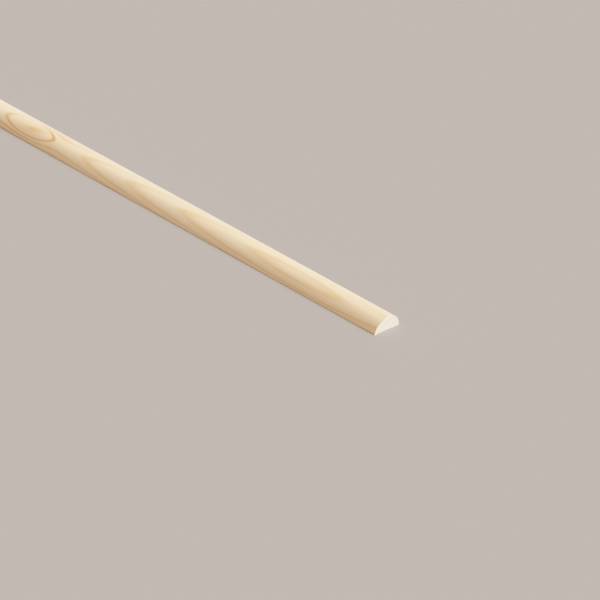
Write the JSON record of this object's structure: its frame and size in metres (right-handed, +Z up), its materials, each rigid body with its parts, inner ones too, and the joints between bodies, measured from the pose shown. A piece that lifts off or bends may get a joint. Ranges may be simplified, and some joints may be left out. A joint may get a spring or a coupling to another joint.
{
  "type": "half round moulding",
  "caption": "Straight length of planed pine half round moulding, with a domed face over a flat back, for covering joints and edging panels",
  "frame": {"origin": "the middle of the flat back: half way along the length, half way across the width, in the plane of the back, which lies on the floor", "axes": "+X along the length, towards the sawn end that faces the camera; +Y across the width; +Z up, from the flat back to the crown"},
  "size_m": [1.2, 0.0208, 0.009],
  "materials": {
    "pine": "matte"
  },
  "bodies": {
    "root": {"half_round": "pine"}
  },
  "joints": []
}
